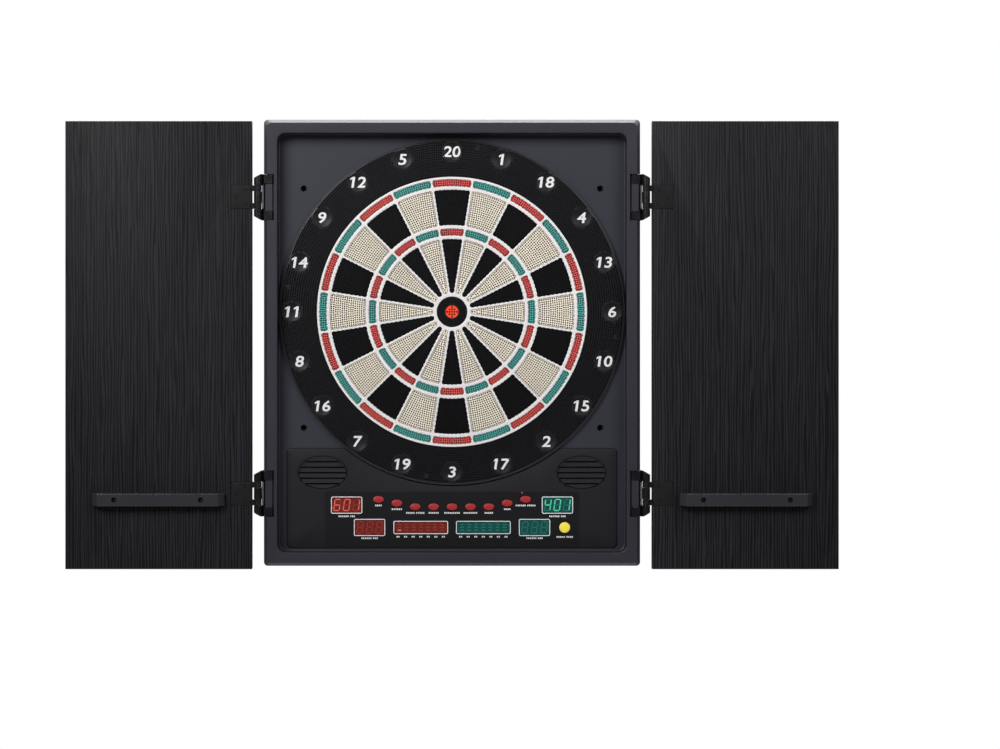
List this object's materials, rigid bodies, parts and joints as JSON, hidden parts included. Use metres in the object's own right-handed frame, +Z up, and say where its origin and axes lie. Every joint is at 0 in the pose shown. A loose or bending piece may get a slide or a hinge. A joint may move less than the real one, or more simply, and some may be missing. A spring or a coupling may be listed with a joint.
{
  "type": "electronic dartboard",
  "caption": "Electronic dartboard in a wall cabinet: swing doors with dart holders, sprung target segments in a white web, number ring, scoring displays and press buttons.",
  "frame": {"origin": "on the wall plane (the rear cover's back face), on the axis of the bullseye", "axes": "+X to the player's right, +Y into the wall, +Z up; the board faces -Y"},
  "size_m": [0.982, 0.078, 0.571],
  "materials": {
    "housing_plastic": "fine satin grain, blue-grey charcoal",
    "cover_plastic": "coarse matt grain",
    "screw_steel": "zinc plated",
    "ring_plastic": "satin black",
    "badge_plastic": null,
    "web_plastic": "moulded off-white",
    "mat_rubber": "matt",
    "film_plastic": "printed polyester film",
    "hardboard": "pressed fibre board",
    "overlay_print": "printed film",
    "red_window": "clear tinted acrylic",
    "green_window": "clear tinted acrylic",
    "red_display": "light-emitting segments",
    "green_display": "light-emitting segments",
    "circuit_board": "green solder mask",
    "pad_rubber": "grey silicone",
    "speaker_black": "black frame and cone",
    "jack_plastic": "black moulding",
    "hinge_black": "black coated steel",
    "pin_steel": "dark steel",
    "door_wood": "black vertical wood grain foil on fibre board",
    "holder_plastic": "satin black",
    "key_red": "soft red plastic",
    "start_yellow": "yellow plastic",
    "segment_black": "moulded black",
    "segment_cream": "moulded cream",
    "segment_red": "moulded red",
    "segment_teal": "moulded teal"
  },
  "bodies": {
    "cabinet": {"front_housing": "housing_plastic", "rear_cover": "cover_plastic", "case_screws": "screw_steel", "catch_ring": "ring_plastic", "number_badges": "badge_plastic", "spider": "web_plastic", "rubber_mat": "mat_rubber", "contact_film": "film_plastic", "backing_board": "hardboard", "control_overlay": "overlay_print", "red_windows": "red_window", "green_windows": "green_window", "red_displays": "red_display", "green_displays": "green_display", "main_board": "circuit_board", "key_pad": "pad_rubber", "speakers": "speaker_black", "power_jack": "jack_plastic", "hinge_brackets": "hinge_black", "hinge_pins": "pin_steel"},
    "left_door": {"left_door": "door_wood", "left_dart_holder": "holder_plastic", "left_hinge_leaves": "hinge_black", "left_door_screws": "hinge_black"},
    "right_door": {"right_door": "door_wood", "right_dart_holder": "holder_plastic", "right_hinge_leaves": "hinge_black", "right_door_screws": "hinge_black"},
    "key_game": {"key_game": "key_red"},
    "key_option": {"key_option": "key_red"},
    "key_player": {"key_player": "key_red"},
    "key_double": {"key_double": "key_red"},
    "key_solo": {"key_solo": "key_red"},
    "key_handicap": {"key_handicap": "key_red"},
    "key_sound": {"key_sound": "key_red"},
    "key_miss": {"key_miss": "key_red"},
    "key_select": {"key_select": "key_red"},
    "start_button": {"start_button": "start_yellow"},
    "inner_bull": {"inner_bull": "segment_red"},
    "outer_bull": {"outer_bull": "segment_black"},
    "segments_20": {"segments_20": "segment_black"},
    "segments_1": {"segments_1": "segment_cream"},
    "segments_18": {"segments_18": "segment_black"},
    "segments_4": {"segments_4": "segment_cream"},
    "segments_13": {"segments_13": "segment_black"},
    "segments_6": {"segments_6": "segment_cream"},
    "segments_10": {"segments_10": "segment_black"},
    "segments_15": {"segments_15": "segment_cream"},
    "segments_2": {"segments_2": "segment_black"},
    "segments_17": {"segments_17": "segment_cream"},
    "segments_3": {"segments_3": "segment_black"},
    "segments_19": {"segments_19": "segment_cream"},
    "segments_7": {"segments_7": "segment_black"},
    "segments_16": {"segments_16": "segment_cream"},
    "segments_8": {"segments_8": "segment_black"},
    "segments_11": {"segments_11": "segment_cream"},
    "segments_14": {"segments_14": "segment_black"},
    "segments_9": {"segments_9": "segment_cream"},
    "segments_12": {"segments_12": "segment_black"},
    "segments_5": {"segments_5": "segment_cream"}
  },
  "joints": [
    {"name": "door_left_swing", "type": "hinge", "parent": "cabinet", "child": "left_door", "pos_m": [-0.2465, -0.0605, 0], "axis": [0, 0, 1], "range_deg": [0, 180]},
    {"name": "door_right_swing", "type": "hinge", "parent": "cabinet", "child": "right_door", "pos_m": [0.2465, -0.0605, 0], "axis": [0, 0, -1], "range_deg": [0, 180]},
    {"name": "key_game_press", "type": "slide", "parent": "cabinet", "child": "key_game", "axis": [0, 1, 0], "range_m": [0, 0.0015], "stiffness_N_per_m": 400, "springref_m": -0.0005},
    {"name": "key_option_press", "type": "slide", "parent": "cabinet", "child": "key_option", "axis": [0, 1, 0], "range_m": [0, 0.0015], "stiffness_N_per_m": 400, "springref_m": -0.0005},
    {"name": "key_player_press", "type": "slide", "parent": "cabinet", "child": "key_player", "axis": [0, 1, 0], "range_m": [0, 0.0015], "stiffness_N_per_m": 400, "springref_m": -0.0005},
    {"name": "key_double_press", "type": "slide", "parent": "cabinet", "child": "key_double", "axis": [0, 1, 0], "range_m": [0, 0.0015], "stiffness_N_per_m": 400, "springref_m": -0.0005},
    {"name": "key_solo_press", "type": "slide", "parent": "cabinet", "child": "key_solo", "axis": [0, 1, 0], "range_m": [0, 0.0015], "stiffness_N_per_m": 400, "springref_m": -0.0005},
    {"name": "key_handicap_press", "type": "slide", "parent": "cabinet", "child": "key_handicap", "axis": [0, 1, 0], "range_m": [0, 0.0015], "stiffness_N_per_m": 400, "springref_m": -0.0005},
    {"name": "key_sound_press", "type": "slide", "parent": "cabinet", "child": "key_sound", "axis": [0, 1, 0], "range_m": [0, 0.0015], "stiffness_N_per_m": 400, "springref_m": -0.0005},
    {"name": "key_miss_press", "type": "slide", "parent": "cabinet", "child": "key_miss", "axis": [0, 1, 0], "range_m": [0, 0.0015], "stiffness_N_per_m": 400, "springref_m": -0.0005},
    {"name": "key_select_press", "type": "slide", "parent": "cabinet", "child": "key_select", "axis": [0, 1, 0], "range_m": [0, 0.0015], "stiffness_N_per_m": 400, "springref_m": -0.0005},
    {"name": "start_button_press", "type": "slide", "parent": "cabinet", "child": "start_button", "axis": [0, 1, 0], "range_m": [0, 0.0015], "stiffness_N_per_m": 400, "springref_m": -0.0005},
    {"name": "press_inner_bull", "type": "slide", "parent": "cabinet", "child": "inner_bull", "axis": [0, 1, 0], "range_m": [0, 0.0012], "stiffness_N_per_m": 900, "springref_m": -0.0005},
    {"name": "press_outer_bull", "type": "slide", "parent": "cabinet", "child": "outer_bull", "axis": [0, 1, 0], "range_m": [0, 0.0012], "stiffness_N_per_m": 900, "springref_m": -0.0005},
    {"name": "press_segments_20", "type": "slide", "parent": "cabinet", "child": "segments_20", "axis": [0, 1, 0], "range_m": [0, 0.0012], "stiffness_N_per_m": 1200, "springref_m": -0.0005},
    {"name": "press_segments_1", "type": "slide", "parent": "cabinet", "child": "segments_1", "axis": [0, 1, 0], "range_m": [0, 0.0012], "stiffness_N_per_m": 1200, "springref_m": -0.0005},
    {"name": "press_segments_18", "type": "slide", "parent": "cabinet", "child": "segments_18", "axis": [0, 1, 0], "range_m": [0, 0.0012], "stiffness_N_per_m": 1200, "springref_m": -0.0005},
    {"name": "press_segments_4", "type": "slide", "parent": "cabinet", "child": "segments_4", "axis": [0, 1, 0], "range_m": [0, 0.0012], "stiffness_N_per_m": 1200, "springref_m": -0.0005},
    {"name": "press_segments_13", "type": "slide", "parent": "cabinet", "child": "segments_13", "axis": [0, 1, 0], "range_m": [0, 0.0012], "stiffness_N_per_m": 1200, "springref_m": -0.0005},
    {"name": "press_segments_6", "type": "slide", "parent": "cabinet", "child": "segments_6", "axis": [0, 1, 0], "range_m": [0, 0.0012], "stiffness_N_per_m": 1200, "springref_m": -0.0005},
    {"name": "press_segments_10", "type": "slide", "parent": "cabinet", "child": "segments_10", "axis": [0, 1, 0], "range_m": [0, 0.0012], "stiffness_N_per_m": 1200, "springref_m": -0.0005},
    {"name": "press_segments_15", "type": "slide", "parent": "cabinet", "child": "segments_15", "axis": [0, 1, 0], "range_m": [0, 0.0012], "stiffness_N_per_m": 1200, "springref_m": -0.0005},
    {"name": "press_segments_2", "type": "slide", "parent": "cabinet", "child": "segments_2", "axis": [0, 1, 0], "range_m": [0, 0.0012], "stiffness_N_per_m": 1200, "springref_m": -0.0005},
    {"name": "press_segments_17", "type": "slide", "parent": "cabinet", "child": "segments_17", "axis": [0, 1, 0], "range_m": [0, 0.0012], "stiffness_N_per_m": 1200, "springref_m": -0.0005},
    {"name": "press_segments_3", "type": "slide", "parent": "cabinet", "child": "segments_3", "axis": [0, 1, 0], "range_m": [0, 0.0012], "stiffness_N_per_m": 1200, "springref_m": -0.0005},
    {"name": "press_segments_19", "type": "slide", "parent": "cabinet", "child": "segments_19", "axis": [0, 1, 0], "range_m": [0, 0.0012], "stiffness_N_per_m": 1200, "springref_m": -0.0005},
    {"name": "press_segments_7", "type": "slide", "parent": "cabinet", "child": "segments_7", "axis": [0, 1, 0], "range_m": [0, 0.0012], "stiffness_N_per_m": 1200, "springref_m": -0.0005},
    {"name": "press_segments_16", "type": "slide", "parent": "cabinet", "child": "segments_16", "axis": [0, 1, 0], "range_m": [0, 0.0012], "stiffness_N_per_m": 1200, "springref_m": -0.0005},
    {"name": "press_segments_8", "type": "slide", "parent": "cabinet", "child": "segments_8", "axis": [0, 1, 0], "range_m": [0, 0.0012], "stiffness_N_per_m": 1200, "springref_m": -0.0005},
    {"name": "press_segments_11", "type": "slide", "parent": "cabinet", "child": "segments_11", "axis": [0, 1, 0], "range_m": [0, 0.0012], "stiffness_N_per_m": 1200, "springref_m": -0.0005},
    {"name": "press_segments_14", "type": "slide", "parent": "cabinet", "child": "segments_14", "axis": [0, 1, 0], "range_m": [0, 0.0012], "stiffness_N_per_m": 1200, "springref_m": -0.0005},
    {"name": "press_segments_9", "type": "slide", "parent": "cabinet", "child": "segments_9", "axis": [0, 1, 0], "range_m": [0, 0.0012], "stiffness_N_per_m": 1200, "springref_m": -0.0005},
    {"name": "press_segments_12", "type": "slide", "parent": "cabinet", "child": "segments_12", "axis": [0, 1, 0], "range_m": [0, 0.0012], "stiffness_N_per_m": 1200, "springref_m": -0.0005},
    {"name": "press_segments_5", "type": "slide", "parent": "cabinet", "child": "segments_5", "axis": [0, 1, 0], "range_m": [0, 0.0012], "stiffness_N_per_m": 1200, "springref_m": -0.0005}
  ]
}
